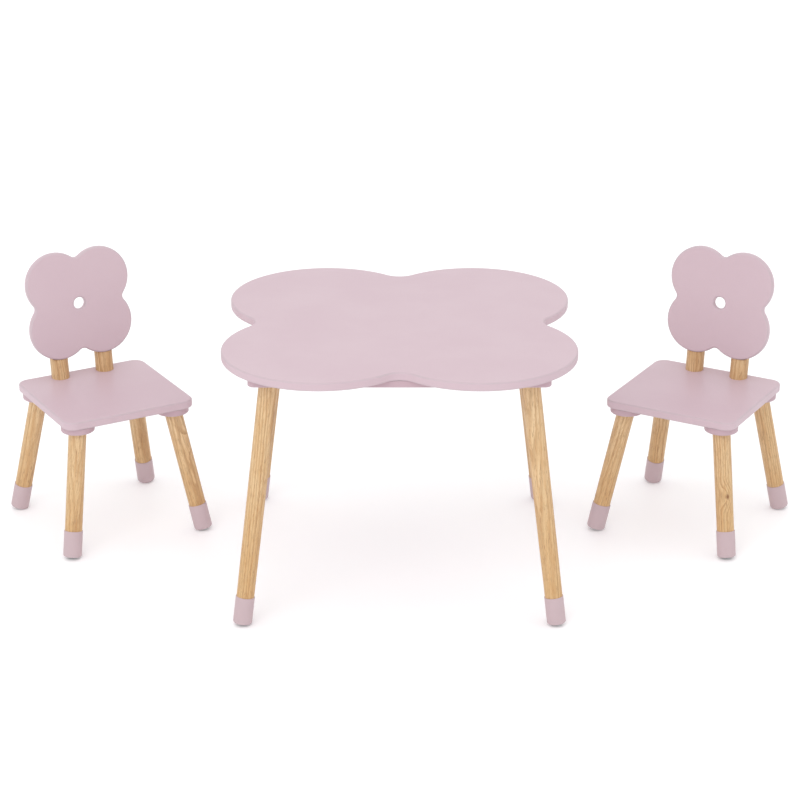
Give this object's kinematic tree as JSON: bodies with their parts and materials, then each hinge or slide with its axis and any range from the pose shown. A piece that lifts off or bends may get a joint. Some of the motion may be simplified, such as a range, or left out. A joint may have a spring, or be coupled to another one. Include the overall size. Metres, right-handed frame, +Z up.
{
  "type": "kids table and chairs",
  "caption": "Low square play table with a rounded four-lobed top on splayed round wooden legs, and matching small chairs with lobed backs and pink leg tips.",
  "frame": {"origin": "on the floor, at the middle of the whole set's box in X and in Y", "axes": "+X across the set, from the left chair to the right chair; +Y from the open front to the back, where the chairs stand; +Z up"},
  "size_m": [1.463, 0.6674, 0.4927],
  "materials": {
    "pink_paint": "fibreboard with smooth satin pale pink paint, eased edges",
    "pink_underframe": "fibreboard with the same satin pale pink paint",
    "pine": "turned pine, clear matt lacquer, visible grain and small knots",
    "pink_tips": "moulded pale pink plastic, satin",
    "glide_nylon": "domed dark grey nylon glide",
    "zinc_steel": "zinc plated steel"
  },
  "bodies": {
    "table": {"table_top": "pink_paint", "rail_front": "pink_underframe", "rail_back": "pink_underframe", "rail_left": "pink_underframe", "rail_right": "pink_underframe", "table_leg_front_left": "pine", "table_leg_front_right": "pine", "table_leg_back_left": "pine", "table_leg_back_right": "pine", "table_tip_front_left": "pink_tips", "table_tip_front_right": "pink_tips", "table_tip_back_left": "pink_tips", "table_tip_back_right": "pink_tips", "table_glides": "glide_nylon", "table_hanger_bolts": "zinc_steel", "table_inserts": "zinc_steel", "table_rail_screws": "zinc_steel"},
    "left_chair": {"left_chair_seat": "pink_paint", "left_chair_back_panel": "pink_paint", "left_chair_post_left": "pine", "left_chair_post_right": "pine", "left_chair_pad_front_left": "pink_underframe", "left_chair_pad_front_right": "pink_underframe", "left_chair_pad_back_left": "pink_underframe", "left_chair_pad_back_right": "pink_underframe", "left_chair_leg_front_left": "pine", "left_chair_leg_front_right": "pine", "left_chair_leg_back_left": "pine", "left_chair_leg_back_right": "pine", "left_chair_tip_front_left": "pink_tips", "left_chair_tip_front_right": "pink_tips", "left_chair_tip_back_left": "pink_tips", "left_chair_tip_back_right": "pink_tips", "left_chair_glides": "glide_nylon", "left_chair_hanger_bolts": "zinc_steel", "left_chair_inserts": "zinc_steel", "left_chair_pad_screws": "zinc_steel", "left_chair_back_screws": "zinc_steel"},
    "right_chair": {"right_chair_seat": "pink_paint", "right_chair_back_panel": "pink_paint", "right_chair_post_left": "pine", "right_chair_post_right": "pine", "right_chair_pad_front_left": "pink_underframe", "right_chair_pad_front_right": "pink_underframe", "right_chair_pad_back_left": "pink_underframe", "right_chair_pad_back_right": "pink_underframe", "right_chair_leg_front_left": "pine", "right_chair_leg_front_right": "pine", "right_chair_leg_back_left": "pine", "right_chair_leg_back_right": "pine", "right_chair_tip_front_left": "pink_tips", "right_chair_tip_front_right": "pink_tips", "right_chair_tip_back_left": "pink_tips", "right_chair_tip_back_right": "pink_tips", "right_chair_glides": "glide_nylon", "right_chair_hanger_bolts": "zinc_steel", "right_chair_inserts": "zinc_steel", "right_chair_pad_screws": "zinc_steel", "right_chair_back_screws": "zinc_steel"}
  },
  "joints": [
    {"name": "left_chair_slide", "type": "slide", "parent": "table", "child": "left_chair", "axis": [0.4939, -0.8695, 0], "range_m": [-0.3, 0.3]},
    {"name": "right_chair_slide", "type": "slide", "parent": "table", "child": "right_chair", "axis": [-0.4939, -0.8695, 0], "range_m": [-0.3, 0.3]}
  ]
}
